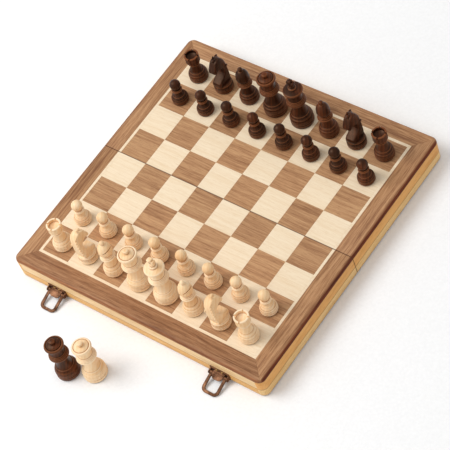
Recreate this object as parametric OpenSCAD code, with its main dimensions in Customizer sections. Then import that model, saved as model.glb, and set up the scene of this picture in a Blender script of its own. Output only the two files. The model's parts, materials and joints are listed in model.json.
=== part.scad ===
// Folding wooden chess set, open for play, with two spare queens beside it.
// Millimetres, +Z up. The origin is the middle of the fold hinge's axis, on the plane where the rims
// of the two halves meet when the box is shut. Light plays from -Y, and the a-file is at -X.

/* [Playing surface] */
// Side of one square
square_w = 40.7; // [30:0.1:60]
// Width of the light line inlaid round the squares
inlay_w = 3.6; // [1.5:0.1:8]
// Width of the walnut border outside that line
border_w = 24.1; // [18:0.1:45]
// Thickness of the veneers
veneer_t = 0.8; // [0.5:0.1:1.5]

/* [Tray halves] */
// Height of one half, from its rim to the playing surface
half_h = 32; // [27:0.5:50]
// Thickness of the walls
wall_t = 10; // [9.5:0.5:16]
// Thickness of the walnut border
border_t = 4.5; // [3.5:0.1:7]
// Radius of the border's eased outer edge
ease_r = 4; // [1:0.5:4]
// Radius of the board's outer corners
corner_r = 9; // [5:0.5:9]
// Gap between the two halves along the fold
seam_gap = 0.3; // [0.1:0.1:1]
// Thickness of the felt lining
lining_t = 1; // [0.5:0.1:2]
// Thickness of the felt pads under the outer rims
pad_t = 2; // [1.9:0.1:4]
// Radius of the felt pads
pad_r = 4.5; // [3:0.5:4.5]

/* [Hinges] */
// Distance of each hinge's middle from the board's middle
hinge_x = 110; // [60:1:120]
// Length of each hinge
hinge_len = 38; // [25:1:60]
// Radius of the hinge barrel
barrel_r = 1.75; // [1.4:0.05:1.8]
// Radius of the hinge pin
pin_r = 0.8; // [0.5:0.05:0.9]
// Thickness of the hinge leaves
leaf_t = 0.9; // [0.6:0.1:1.4]
// Width of a leaf, from the hinge's axis
leaf_w = 9; // [7:0.5:9]

/* [Clasps] */
// Distance of each clasp's middle from the board's middle
clasp_x = 125.5; // [80:0.5:130]
// Width of the clasp bracket
bracket_w = 27.5; // [22:0.5:36]
// Height of the bracket plate's top above the rim
bracket_top = 12; // [12:0.5:15]
// Height of the bail's axis above the rim
bail_z = 5.6; // [5.6:0.1:7]
// Distance of the bail's axis from the wall
bail_out = 4; // [3.8:0.1:6]
// Length of the bail, from its axis to its end
bail_len = 25.2; // [24:0.1:34]
// Width of the bail's flat bar
bail_bar = 3.8; // [2:0.1:4]
// Thickness of the bail's flat bar
bail_t = 1.8; // [1:0.1:2.4]
// Radius of the bracket's cross pin
cross_pin_r = 1.2; // [0.8:0.05:1.4]
// How far the catch's tongue stands out of the wall
catch_out = 8; // [6:0.5:8]

/* [Chessmen] */
// Height of the king
king_h = 79; // [62:1:97]
// Height of the queen
queen_h = 70; // [56:1:90]
// Height of the bishop
bishop_h = 60.5; // [48:0.5:80]
// Height of the knight
knight_h = 60; // [48:1:75]
// Height of the rook
rook_h = 44.5; // [36:0.5:60]
// Height of the pawn
pawn_h = 38; // [30:0.5:50]
// Radius of the king's base
king_r = 15; // [12:0.5:18]
// Radius of the queen's base
queen_r = 15; // [12:0.5:18]
// Radius of the bases of bishop, knight and rook
officer_r = 12.5; // [10:0.5:15]
// Radius of the pawn's base
pawn_r = 11; // [9:0.5:13]
// Thickness of the felt under each base
felt_t = 1; // [0.5:0.1:1.5]
// How far the light men stand to the right of their squares' middles
light_stand_dx = 0.5; // [-3:0.5:3]
// How far the light men stand in front of their squares' middles
light_stand_dy = 2; // [-3:0.5:3]
// How far the dark men stand to the right of their squares' middles
dark_stand_dx = 2; // [-3:0.5:3]
// How far the dark men stand in front of their squares' middles
dark_stand_dy = 0.5; // [-3:0.5:3]

/* [Spare queens] */
// Place of the dark spare queen, to the right of the board's middle
dark_spare_x = -46; // [-120:1:60]
// Place of the dark spare queen, in front of the board's near edge
dark_spare_front = 82; // [60:0.5:150]
// Clear space between the two spare queens, to the right of the dark one
light_spare_gap = 2; // [1:0.5:50]
// Place of the light spare queen, behind the dark one
light_spare_dy = 13.5; // [0:0.5:30]

/* [Hidden] */
$fn = 64;
FILES = ["a", "b", "c", "d", "e", "f", "g", "h"];
BACK_RANK = ["rook", "knight", "bishop", "queen", "king", "bishop", "knight", "rook"];
COLOURS = ["white", "black"];
HALVES = ["near", "far"];
function man(colour, kind, file) =
    kind == "queen" || kind == "king" ? str(colour, "_", kind) : str(colour, "_", kind, "_", FILES[file]);

walnut = [0.66, 0.47, 0.34];
maple = [0.93, 0.83, 0.68];
plywood = [0.80, 0.68, 0.50];
bronze = [0.45, 0.30, 0.20];
brass = [0.72, 0.58, 0.32];
felt_green = [0.12, 0.30, 0.20];
pad_brown = [0.25, 0.18, 0.14];

squares_w = 8 * square_w;                              // the eight squares together
field_w = squares_w + 2 * inlay_w;                     // squares with their inlaid line
board_w = field_w + 2 * border_w;                      // width of the open board, both ways
half_w = board_w / 2;
seam_y = seam_gap / 2;                                 // each half starts this far from the fold
wall_h = half_h - border_t;                            // walls stop under the border
glue = 0.05;                                           // glue line on each side of a joint
tongue_l = 5;                                          // the panel's tongue in the border's groove
tongue_t = 1.6;
panel_t = border_t - veneer_t;
ease = min(ease_r, border_t - 0.5);
line_z = 12;                                           // scored line round the outer walls
line_d = 0.5;

fold_clear = 0.35;                                     // room round the hinge barrel in the wood
knuckles = 5;
knuckle_gap = 0.2;
knuckle_l = hinge_len / knuckles;
pin_clear = 0.06;
leaf_screw_y = (leaf_w + barrel_r) / 2;
leaf_screws = [-0.36, 0, 0.36] * hinge_len;            // screw places along a leaf
screw_r = 1;
screw_l = 9;
head_r = 1.9;

plate_t = 1.2;                                         // bracket and catch plates
plate_z0 = 1;
ear_t = 1.3;
ear_r = 3;
eye_r = 2.4;                                           // the bail's eyes round the cross pin
bail_gap = 0.4;                                        // side play of the bail in its bracket
bail_w = bracket_w - 2 * (ear_t + bail_gap);           // outer width of the bail
bail_in = bail_w - 2 * bail_bar;                       // clear width inside the bail
bail_y = -(half_w + bail_out);
bail_corner = 7;
lug_w = bail_in - 2 * bail_gap;                        // the bracket's rounded tongue
lug_l = 6.8;
lug_round = min(lug_w / 2 - 0.8, lug_l - 1.2);
lug_t = 1.6;
bracket_screw_x = 4;
bracket_screw_z = bracket_top - 2.2;
lay_gap = 0.05;                                        // the bail's end stops this far above the table
bail_drop_h = bail_z + pad_t - lay_gap;
bail_droop = asin(bail_drop_h / norm([bail_len, bail_t / 2])) - atan(bail_t / 2 / bail_len);

shut_gap = pad_t * (half_w / (half_w - pad_r * 2)) + 0.1;    // between the rims at the outer walls when shut
catch_slack = 0.5;                                     // between the catch's tongue and the bail's end
catch_top = bail_len - bail_bar - bail_z - shut_gap - catch_slack;
catch_t = 2.5;
catch_w = min(10, lug_w - 2);
catch_plate_w = 16;
catch_screw_x = 5;

// ---- tools ----

// Points of an arc round [x, z], for the outline of a turned piece
function arc(x, z, r, from, to, n = 5) =
    [for (i = [0:n]) let (a = from + (to - from) * i / n) [x + r * cos(a), z + r * sin(a)]];

// Points of a curve from a to c that heads for b
function curve(a, b, c, n = 6) =
    [for (i = [0:n]) let (t = i / n) (1 - t) * (1 - t) * a + 2 * t * (1 - t) * b + t * t * c];

// Puts near-half geometry on the half that is wanted
module on_half(half) {
    if (half == "far") mirror([0, 1, 0]) children();
    else children();
}

module both_sides() {
    children();
    mirror([1, 0, 0]) children();
}

module bar(x0, x1, y0, y1, z0, z1) {
    translate([x0, y0, z0]) cube([x1 - x0, y1 - y0, z1 - z0]);
}

// A countersunk screw, head up to z = 0, shank down
module screw() {
    translate([0, 0, -screw_l]) cylinder(r = screw_r, h = screw_l);
    translate([0, 0, -leaf_t]) cylinder(r1 = screw_r, r2 = head_r, h = leaf_t);
}

// ---- one half of the board ----

// The near half's outline in plan, grown inwards by d, with its outer corners rounded
module half_plan(d = 0) {
    r = corner_r - d;
    w = half_w - d;
    difference() {
        translate([-w, -w]) square([2 * w, w - seam_y]);
        both_sides() difference() {
            translate([-w - 1, -w - 1]) square(r + 1);
            translate([-w + r, -w + r]) circle(r);
        }
    }
}

// V-shaped score line along the outer face of a wall that runs along X
module score(len) {
    rotate([90, 0, 90]) linear_extrude(len, center = true)
        polygon([[-0.01, line_z - line_d], [line_d, line_z], [-0.01, line_z + line_d]]);
}

module hinge_places() {
    for (s = [-1, 1]) translate([s * hinge_x, 0, 0]) children();
}

module leaf_screw_places() {
    hinge_places() for (x = leaf_screws) translate([x, -leaf_screw_y, 0]) children();
}

module clasp_places() {
    for (s = [-1, 1]) translate([s * clasp_x, 0, 0]) children();
}

// Front wall of the near half, or back wall of the far half
module end_wall(half) {
    color(maple) on_half(half) difference() {
        bar(-half_w + wall_t + glue, half_w - wall_t - glue, -half_w, -half_w + wall_t, 0, wall_h);
        translate([0, -half_w, 0]) score(board_w);
        if (half == "near")
            bracket_screw_places() screw_hole();
        else
            catch_screw_places() screw_hole();
    }
}

module screw_hole() {
    rotate([90, 0, 0]) translate([0, 0, -screw_l + plate_t]) cylinder(r = screw_r, h = screw_l);
}

module bracket_screw_places() {
    clasp_places() for (s = [-1, 1]) translate([s * bracket_screw_x, -half_w, bracket_screw_z]) children();
}

module catch_screw_places() {
    clasp_places() for (s = [-1, 1]) translate([s * catch_screw_x, -half_w, catch_screw_z]) children();
}

module side_walls(half) {
    color(maple) on_half(half) both_sides() difference() {
        intersection() {
            linear_extrude(wall_h) half_plan();
            bar(-half_w, -half_w + wall_t, -half_w, -seam_y, 0, wall_h);
        }
        translate([-half_w, -half_w + corner_r, 0])
            rotate([90, 0, 180]) linear_extrude(half_w)
                polygon([[0.01, line_z - line_d], [-line_d, line_z], [0.01, line_z + line_d]]);
    }
}

// The wall beside the fold, let in for the hinge leaves and barrels
module seam_wall(half) {
    color(maple) on_half(half) difference() {
        bar(-half_w + wall_t + glue, half_w - wall_t - glue, -wall_t, -seam_y, 0, wall_h);
        hinge_places() {
            bar(-hinge_len / 2, hinge_len / 2, -leaf_w, 0, -1, leaf_t);
            bar(-hinge_len / 2 - fold_clear, hinge_len / 2 + fold_clear,
                -barrel_r - fold_clear, 0, -1, barrel_r + fold_clear);
        }
        leaf_screw_places() cylinder(r = screw_r, h = screw_l);
    }
}

// Plywood under the veneers, with a tongue into the border on three sides
module panel(half) {
    inner = field_w / 2 - glue;
    mid_z = wall_h + panel_t / 2;
    color(plywood) on_half(half) union() {
        bar(-inner, inner, -inner, -seam_y, wall_h + glue, half_h - veneer_t);
        bar(-inner - tongue_l, inner + tongue_l, -inner - tongue_l, -seam_y,
            mid_z - tongue_t / 2, mid_z + tongue_t / 2);
    }
}

// The border before it is mitred: a slab with an eased edge, open over the field
module border_ring() {
    w = half_w - corner_r;
    inner = field_w / 2;
    mid_z = wall_h + panel_t / 2;
    difference() {
        union() {
            bar(-w, w, -w, -seam_y, wall_h, half_h);
            rotate([90, 0, 90]) linear_extrude(2 * w, center = true)
                translate([-w, wall_h]) mirror([1, 0]) eased_section();
            both_sides() {
                translate([-w, -seam_y, wall_h])
                    rotate([90, 0, 0]) linear_extrude(w - seam_y) mirror([1, 0]) eased_section();
                translate([-w, -w, wall_h]) rotate([0, 0, 180]) rotate_extrude(angle = 90) eased_section();
            }
        }
        bar(-inner, inner, -inner, 1, wall_h - 1, half_h + 1);
        bar(-inner - tongue_l - glue, inner + tongue_l + glue, -inner - tongue_l - glue, 1,
            mid_z - tongue_t / 2 - glue, mid_z + tongue_t / 2 + glue);
    }
}

// Section of the border's outer corner_r, from the rounding's centre outwards
module eased_section() {
    union() {
        square([corner_r - ease, border_t]);
        square([corner_r, border_t - ease]);
        intersection() {
            translate([corner_r - ease, border_t - ease]) circle(ease);
            square([corner_r, border_t]);
        }
    }
}

module border(half) {
    color(walnut) on_half(half) {
        intersection() {
            border_ring();
            mitre_front();
        }
        both_sides() intersection() {
            border_ring();
            mitre_side();
        }
    }
}

// Space of the front strip, which ends on the 45 degree lines from the corners
module mitre_front() {
    w = half_w + 1;
    i = field_w / 2 - tongue_l - 2;
    translate([0, 0, wall_h - 1]) linear_extrude(border_t + 2)
        polygon([[-w + glue, -w], [w - glue, -w], [i - glue, -i], [-i + glue, -i]]);
}

module mitre_side() {
    w = half_w + 1;
    i = field_w / 2 - tongue_l - 2;
    translate([0, 0, wall_h - 1]) linear_extrude(border_t + 2)
        polygon([[-w, -w + glue], [-i, -i + glue], [-i, 0], [-w, 0]]);
}

// One colour of squares on the near half: parity 0 is dark, because a1 is
module squares(parity) {
    for (file = [0:7], rank = [0:3])
        if ((file + rank) % 2 == parity)
            bar((file - 4) * square_w + glue, (file - 3) * square_w - glue,
                (rank - 4) * square_w + glue, rank == 3 ? -seam_y : (rank - 3) * square_w - glue,
                half_h - veneer_t, half_h);
}

module inlay_line() {
    o = field_w / 2 - glue;
    i = squares_w / 2 + glue;
    z = half_h - veneer_t;
    bar(-o, o, -o, -i, z, half_h);
    both_sides() bar(-o, -i, -i + glue, -seam_y, z, half_h);
}

// The far half's squares fall the other way round, so that h8 is dark as a1 is
module maple_veneer(half) {
    color(maple) on_half(half) {
        squares(half == "near" ? 1 : 0);
        inlay_line();
    }
}

module walnut_veneer(half) {
    color(walnut) on_half(half) squares(half == "near" ? 0 : 1);
}

module lining(half) {
    o = half_w - wall_t - glue;
    color(felt_green) on_half(half) bar(-o, o, -o, -wall_t - glue, wall_h - lining_t, wall_h);
}

// The two halves' pads don't meet when the box is shut, so each lands on wood
module pads(half) {
    pad_x = half == "near" ? half_w - 40 : half_w - 26;
    color(pad_brown) on_half(half) both_sides()
        translate([-pad_x, -half_w + wall_t / 2, -pad_t]) cylinder(r = pad_r, h = pad_t);
}

// ---- hinges ----

// One leaf with its own knuckles: first is 0 for the near leaf's, 1 for the far leaf's
module leaf(first, bore_r) {
    difference() {
        union() {
            bar(-hinge_len / 2, hinge_len / 2, -leaf_w, -barrel_r - fold_clear / 2, 0, leaf_t);
            for (k = [first:2:knuckles - 1]) {
                x0 = -hinge_len / 2 + k * knuckle_l + knuckle_gap / 2;
                x1 = x0 + knuckle_l - knuckle_gap;
                bar(x0, x1, -leaf_w / 2, 0, 0, leaf_t);
                translate([x0, 0, 0]) rotate([0, 90, 0]) cylinder(r = barrel_r, h = x1 - x0);
            }
        }
        translate([-hinge_len, 0, 0]) rotate([0, 90, 0]) cylinder(r = bore_r, h = 2 * hinge_len);
        for (x = leaf_screws) translate([x, -leaf_screw_y, 0]) {
            cylinder(r1 = head_r, r2 = screw_r, h = leaf_t);
            cylinder(r = screw_r, h = leaf_t + 1);
        }
    }
}

module hinge_leaves(half) {
    color(brass) on_half(half) hinge_places() {
        if (half == "near") leaf(0, pin_r + pin_clear);
        else {
            leaf(1, pin_r + glue);
            translate([-hinge_len / 2, 0, 0]) rotate([0, 90, 0]) cylinder(r = pin_r, h = hinge_len);
        }
    }
}

module screws(half) {
    color(brass) on_half(half) {
        leaf_screw_places() rotate([180, 0, 0]) screw();
        if (half == "near") bracket_screw_places() plate_screw();
        else catch_screw_places() plate_screw();
    }
}

// A round-headed screw through a plate on the end wall
module plate_screw() {
    rotate([90, 0, 0]) {
        translate([0, 0, -screw_l + plate_t]) cylinder(r = screw_r, h = screw_l);
        translate([0, 0, plate_t]) intersection() {
            translate([0, 0, -head_r]) sphere(r = head_r * sqrt(2));
            cylinder(r = head_r, h = head_r);
        }
    }
}

// ---- clasps ----

module clasp_brackets() {
    color(bronze) clasp_places() difference() {
        union() {
            bar(-bracket_w / 2, bracket_w / 2, -half_w - plate_t, -half_w, plate_z0, bracket_top);
            for (s = [-1, 1]) translate([s * (bracket_w - ear_t) / 2, 0, 0]) ear();
            lug();
            translate([-bracket_w / 2 - 0.6, bail_y, bail_z])
                rotate([0, 90, 0]) cylinder(r = cross_pin_r, h = bracket_w + 1.2);
        }
        for (s = [-1, 1]) translate([s * bracket_screw_x, -half_w + 1, bracket_screw_z])
            rotate([90, 0, 0]) cylinder(r = screw_r, h = plate_t + 2);
    }
}

// An ear of the bracket, which holds one end of the cross pin
module ear() {
    bar(-ear_t / 2, ear_t / 2, bail_y, -half_w, bail_z - ear_r, bail_z + ear_r);
    translate([-ear_t / 2, bail_y, bail_z]) rotate([0, 90, 0]) cylinder(r = ear_r, h = ear_t);
}

// The rounded tongue between the bail's legs: it wraps the cross pin and slopes down with the bail
module lug() {
    bar(-lug_w / 2, lug_w / 2, bail_y, -half_w - plate_t / 2, bail_z - eye_r, bail_z + eye_r);
    translate([-lug_w / 2, bail_y, bail_z]) rotate([0, 90, 0]) cylinder(r = eye_r, h = lug_w);
    translate([0, bail_y, bail_z]) rotate([bail_droop, 0, 0])
        translate([0, 0, eye_r - lug_t]) linear_extrude(lug_t) difference() {
            translate([-lug_w / 2, -lug_l]) square([lug_w, lug_l]);
            both_sides() difference() {
                translate([-lug_w / 2 - 1, -lug_l - 1]) square(lug_round + 1);
                translate([-lug_w / 2 + lug_round, -lug_l + lug_round]) circle(lug_round);
            }
        }
}

// The U-shaped loop, lying outwards until its end meets the table
module bail() {
    r = bail_corner;
    w = bail_w / 2;
    color(bronze) translate([0, bail_y, bail_z]) rotate([bail_droop, 0, 0]) difference() {
        union() {
            both_sides() {
                bar(-w, -w + bail_bar, -bail_len + r, 0, -bail_t / 2, bail_t / 2);
                translate([-w, 0, 0]) rotate([0, 90, 0]) cylinder(r = eye_r, h = bail_bar);
                translate([-w + r, -bail_len + r, -bail_t / 2]) rotate([0, 0, 180])
                    rotate_extrude(angle = 90) translate([r - bail_bar, 0]) square([bail_bar, bail_t]);
            }
            bar(-w + r, w - r, -bail_len, -bail_len + bail_bar, -bail_t / 2, bail_t / 2);
        }
        translate([-w - 1, 0, 0]) rotate([0, 90, 0]) cylinder(r = cross_pin_r + pin_clear, h = bail_w + 2);
    }
}

// Plates on the back wall, each with a tongue that its bail hooks over
catch_screw_z = catch_top - catch_t - 4.5;
module catches() {
    color(bronze) on_half("far") clasp_places() difference() {
        union() {
            bar(-catch_plate_w / 2, catch_plate_w / 2, -half_w - plate_t, -half_w,
                catch_screw_z - 3, catch_top + 1);
            bar(-catch_w / 2, catch_w / 2, -half_w - catch_out + catch_t / 2, -half_w,
                catch_top - catch_t, catch_top);
            translate([-catch_w / 2, -half_w - catch_out + catch_t / 2, catch_top - catch_t / 2])
                rotate([0, 90, 0]) cylinder(d = catch_t, h = catch_w);
        }
        for (s = [-1, 1]) translate([s * catch_screw_x, -half_w + 1, catch_screw_z])
            rotate([90, 0, 0]) cylinder(r = screw_r, h = plate_t + 2);
    }
}

// ---- chessmen, each modelled at the origin of its square ----

// Foot of every chessman: a disc, a groove, a drum and a shoulder up to a ring, which is top times as wide
function foot(r, top = 0.75, ring_z = 1.28) = concat(
    [[0, felt_t], [r - 0.7, felt_t], [r, felt_t + 0.7], [r, 0.36 * r], [0.95 * r, 0.4 * r], [r, 0.44 * r]],
    curve([r, 0.74 * r], [0.99 * r, ring_z * r - 0.33 * r], [top * r, ring_z * r - 0.08 * r], 4),
    [[top * r, ring_z * r], [(top - 0.07) * r, ring_z * r + 0.05 * r]]);

// A bead that stands out to r between z0 and z1, where the shape beside it has radius inner
function bead(inner, r, z0, z1) = concat(
    [[inner, z0]], arc(r - (z1 - z0) / 2, (z0 + z1) / 2, (z1 - z0) / 2, -60, 60, 4), [[inner, z1]]);

module turned(points) {
    rotate_extrude() polygon(concat(points, [[0, points[len(points) - 1][1]]]));
}

// Felt disc glued under a base
module base_felt(r) {
    cylinder(r = r - 1.2, h = felt_t - glue);
}

module pawn() {
    head_r = 0.64 * pawn_r;
    neck_r = 0.4 * pawn_r;
    collar_z = 0.6 * pawn_h;
    turned(concat(
        foot(pawn_r, 0.7, 1.2),
        curve([0.6 * pawn_r, 1.28 * pawn_r], [neck_r, 1.42 * pawn_r], [neck_r, collar_z - 2.2]),
        bead(neck_r, 0.64 * pawn_r, collar_z - 2, collar_z + 0.6),
        arc(0, pawn_h - head_r, head_r, -54, 90, 10)));
    base_felt(pawn_r);
}

module rook() {
    r = officer_r;
    turret_r = 0.75 * r;
    turret_z = 0.76 * rook_h;
    neck_r = 0.5 * r;
    well_r = turret_r - 2.2;
    difference() {
        turned(concat(
            foot(r),
            curve([0.64 * r, 1.35 * r], [neck_r, 0.48 * rook_h], [neck_r, 0.62 * rook_h]),
            [[0.54 * r, 0.68 * rook_h], [0.7 * r, turret_z - 1.2]],
            curve([turret_r, turret_z], [turret_r + 0.2, turret_z + 4], [turret_r, rook_h])));
        translate([0, 0, rook_h - 5.5]) cylinder(r = well_r, h = 6);
        for (a = [0, 90]) rotate(a) translate([-r, -1, rook_h - 3]) cube([2 * r, 2, 4]);
    }
    base_felt(r);
}

module bishop() {
    r = officer_r;
    neck_r = 0.44 * r;
    collar_z = 0.53 * bishop_h;
    mitre_r = 0.67 * r;
    mitre_z = 0.76 * bishop_h;
    knob_r = 0.22 * r;
    difference() {
        turned(concat(
            foot(r),
            curve([0.64 * r, 1.35 * r], [neck_r, 0.42 * bishop_h], [neck_r, collar_z - 2]),
            bead(neck_r, 0.76 * r, collar_z - 2, collar_z + 1.2),
            bead(0.55 * r, 0.66 * r, collar_z + 1.8, collar_z + 3.8),
            [[0.44 * r, collar_z + 5]],
            curve([0.46 * r, collar_z + 6], [mitre_r + 0.8, mitre_z - 5], [mitre_r, mitre_z]),
            curve([mitre_r, mitre_z], [mitre_r - 1, mitre_z + 7], [0.18 * r, bishop_h - 1.8 * knob_r]),
            arc(0, bishop_h - knob_r, knob_r, -40, 90, 6)));
        translate([0, 0, mitre_z + 1]) rotate([0, 35, 0]) translate([1.5, -r, 0]) cube([r, 2 * r, 1.1]);
    }
    base_felt(r);
}

// Stem, collars and neck that king and queen share, up to the crown's underside
function royal_stem(r, h, neck_r) = concat(
    foot(r),
    curve([0.66 * r, 1.34 * r], [neck_r, 0.38 * h], [neck_r, 0.535 * h]),
    [[0.66 * r, 0.543 * h]],
    arc(0.85 * r - 2, 0.583 * h, 2, -60, 60, 4),
    bead(0.74 * r, 0.79 * r, 0.618 * h, 0.64 * h),
    bead(0.64 * r, 0.71 * r, 0.646 * h, 0.668 * h),
    [[0.58 * r, 0.695 * h]],
    curve([0.56 * r, 0.71 * h], [0.5 * r, 0.765 * h], [0.6 * r, 0.805 * h]));

module queen() {
    r = queen_r;
    h = queen_h;
    knob_r = 0.25 * r;
    turned(concat(
        royal_stem(r, h, 0.45 * r),
        [[0.81 * r, 0.846 * h], [0.82 * r, 0.868 * h], [0.74 * r, 0.887 * h], [0.66 * r, 0.883 * h],
         [0.62 * r, 0.892 * h]],
        curve([0.58 * r, 0.9 * h], [0.4 * r, 0.918 * h], [knob_r - 0.7, 0.922 * h]),
        [[knob_r - 0.6, 0.935 * h], [knob_r, 0.95 * h], [knob_r, h - 1.2], [knob_r - 1, h]]));
    base_felt(r);
}

module king() {
    r = king_r;
    h = king_h;
    cross_z = 0.86 * h;
    arm_w = 0.62 * r;
    bar_w = 0.28 * r;
    cross_t = 0.3 * r;
    turned(concat(
        royal_stem(r, 0.885 * h, 0.45 * r),
        [[0.82 * r, 0.752 * h], [0.85 * r, 0.766 * h], [0.83 * r, 0.782 * h]],
        curve([0.76 * r, 0.79 * h], [0.5 * r, 0.812 * h], [0.36 * r, 0.815 * h]),
        [[0.34 * r, 0.84 * h], [0.24 * r, 0.85 * h], [0.2 * r, cross_z + 0.5]]));
    translate([-bar_w / 2, -cross_t / 2, cross_z]) cube([bar_w, cross_t, h - cross_z]);
    translate([-arm_w / 2, -cross_t / 2, (cross_z + h) / 2 - bar_w / 3]) cube([arm_w, cross_t, bar_w]);
    base_felt(r);
}

// Side view of the knight's head, looking to +Y: [forwards, up], as shares of r and of the head's height
KNIGHT_SIDE = [
    [-0.74, 0], [-0.82, 0.16], [-0.85, 0.36], [-0.84, 0.58], [-0.75, 0.73], [-0.55, 0.85], [-0.28, 0.91],
    [-0.14, 1], [0.06, 0.92], [0.28, 0.9], [0.5, 0.84], [0.7, 0.75], [0.86, 0.64], [0.88, 0.59],
    [0.8, 0.55], [0.66, 0.53], [0.4, 0.56], [0.16, 0.54], [0.04, 0.49], [0.04, 0.42], [0.2, 0.34],
    [0.48, 0.27], [0.76, 0.2], [0.88, 0.12], [0.86, 0]];
// Front view of half the head: [sideways, up]
KNIGHT_FRONT = [
    [0, 0], [0.62, 0], [0.6, 0.2], [0.5, 0.5], [0.45, 0.8], [0.36, 0.99], [0.14, 0.98], [0, 0.92]];

module knight() {
    r = officer_r;
    neck_z = 1.08 * r;
    head_h = knight_h - neck_z;
    turned(foot(r, 0.93, 1.05));
    intersection() {
        translate([0, 0, neck_z]) rotate([90, 0, 90]) linear_extrude(2 * r, center = true)
            polygon([for (p = KNIGHT_SIDE) [p[0] * r, p[1] * head_h]]);
        translate([0, 0, neck_z]) rotate([90, 0, 0]) linear_extrude(2 * r, center = true)
            polygon(concat(
                [for (p = KNIGHT_FRONT) [p[0] * r, p[1] * head_h]],
                [for (i = [len(KNIGHT_FRONT) - 2:-1:1])
                    [-KNIGHT_FRONT[i][0] * r, KNIGHT_FRONT[i][1] * head_h]]));
        translate([0, 0, neck_z]) cylinder(r = 0.93 * r, h = head_h);
    }
    base_felt(r);
}

module chessman(kind) {
    if (kind == "pawn") pawn();
    else if (kind == "rook") rook();
    else if (kind == "knight") knight();
    else if (kind == "bishop") bishop();
    else if (kind == "queen") queen();
    else king();
}

function wood(colour) = colour == "white" ? [0.92, 0.79, 0.58] : [0.22, 0.11, 0.06];

// A chessman on its square: rank counts from 0, and dark ones look towards -Y
module placed(colour, kind, file, rank) {
    light = colour == "white";
    dx = light ? light_stand_dx : dark_stand_dx;
    dy = light ? light_stand_dy : dark_stand_dy;
    color(wood(colour))
        translate([(file - 3.5) * square_w + dx, (rank - 3.5) * square_w - dy, half_h])
            rotate(light ? 0 : 180) chessman(kind);
}

module spare_queen(colour) {
    dark = [dark_spare_x, -half_w - dark_spare_front, -pad_t];
    place = colour == "black" ? dark : dark + [2 * queen_r + light_spare_gap, light_spare_dy, 0];
    color(wood(colour)) translate(place) queen();
}

for (h = HALVES) {
    side_walls(h);
    seam_wall(h);
    panel(h);
    border(h);
    maple_veneer(h);
    walnut_veneer(h);
    lining(h);
    pads(h);
    screws(h);
    hinge_leaves(h);
}
end_wall("near");  // near_front_wall
end_wall("far");  // far_back_wall
clasp_brackets();
catches();
translate([-clasp_x, 0, 0]) bail();  // left_bail
translate([clasp_x, 0, 0]) bail();  // right_bail
for (file = [0:7]) {
    kind = BACK_RANK[file];
    placed("white", kind, file, 0);
    placed("white", "pawn", file, 1);
    placed("black", "pawn", file, 6);
    placed("black", kind, file, 7);
}
for (c = COLOURS)
    spare_queen(c);
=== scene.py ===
import json
import math
import bmesh
import bpy
from mathutils import Matrix, Quaternion, Vector


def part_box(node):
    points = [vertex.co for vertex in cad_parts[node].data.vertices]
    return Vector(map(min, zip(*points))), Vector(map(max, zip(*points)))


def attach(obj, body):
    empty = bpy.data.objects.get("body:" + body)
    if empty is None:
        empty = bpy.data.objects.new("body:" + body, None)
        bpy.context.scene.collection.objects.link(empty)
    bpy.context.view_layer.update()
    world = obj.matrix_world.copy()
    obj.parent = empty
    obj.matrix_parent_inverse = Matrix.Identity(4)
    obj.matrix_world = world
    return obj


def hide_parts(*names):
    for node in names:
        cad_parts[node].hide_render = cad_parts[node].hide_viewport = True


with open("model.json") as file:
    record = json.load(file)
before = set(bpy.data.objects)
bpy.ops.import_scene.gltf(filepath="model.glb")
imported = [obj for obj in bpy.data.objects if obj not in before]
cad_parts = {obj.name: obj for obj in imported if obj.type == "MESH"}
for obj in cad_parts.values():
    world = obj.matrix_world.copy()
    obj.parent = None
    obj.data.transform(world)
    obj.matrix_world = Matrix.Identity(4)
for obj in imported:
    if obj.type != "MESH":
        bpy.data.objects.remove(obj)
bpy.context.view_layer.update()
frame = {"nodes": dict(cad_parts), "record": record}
print("frame loaded")

# Shapes are drawn in millimetres and brought to metres when they are placed
mm = 0.001

shot = {
    "place": (1.2145, -0.8797, 1.9312),
    "aim": (0.0246, -0.0305, 0.032),
    "lens": 160,
    "roll": -23.15,
}


def addCamera():
    camera = bpy.data.objects.new("camera", bpy.data.cameras.new("camera"))
    bpy.context.scene.collection.objects.link(camera)
    camera.data.lens = shot["lens"]
    camera.data.sensor_width = 36
    camera.data.clip_end = 30
    camera.location = shot["place"]
    look = (Vector(shot["aim"]) - Vector(shot["place"])).to_track_quat("-Z", "Y")
    camera.rotation_mode = "QUATERNION"
    camera.rotation_quaternion = look @ Quaternion((0, 0, 1), math.radians(shot["roll"]))
    bpy.context.scene.camera = camera


addCamera()
print("camera placed")


# Shader helpers

def srgb(r, g, b):
    # screen colour, 0 to 255, to the linear colour a shader takes
    channels = []
    for c in (r, g, b):
        c = c / 255
        channels.append(c / 12.92 if c <= 0.04045 else ((c + 0.055) / 1.055) ** 2.4)
    return (channels[0], channels[1], channels[2], 1)


def addNode(tree, kind, inputs=None, **settings):
    node = tree.nodes.new(kind)
    for key, value in settings.items():
        setattr(node, key, value)
    for key, value in (inputs or {}).items():
        if isinstance(value, bpy.types.NodeSocket):
            tree.links.new(value, node.inputs[key])
        else:
            node.inputs[key].default_value = value
    return node


def mathNode(tree, operation, a, b=0.0):
    return addNode(tree, "ShaderNodeMath", {0: a, 1: b}, operation=operation).outputs[0]


def vectorNode(tree, operation, a, b=(0, 0, 0)):
    return addNode(tree, "ShaderNodeVectorMath", {0: a, 1: b}, operation=operation).outputs[0]


def rampNode(tree, fac, stops):
    node = addNode(tree, "ShaderNodeValToRGB", {"Fac": fac})
    ramp = node.color_ramp
    while len(ramp.elements) < len(stops):
        ramp.elements.new(0.5)
    for element, (place, colour) in zip(ramp.elements, stops):
        element.position = place
        element.color = colour
    return node.outputs["Color"]


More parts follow.
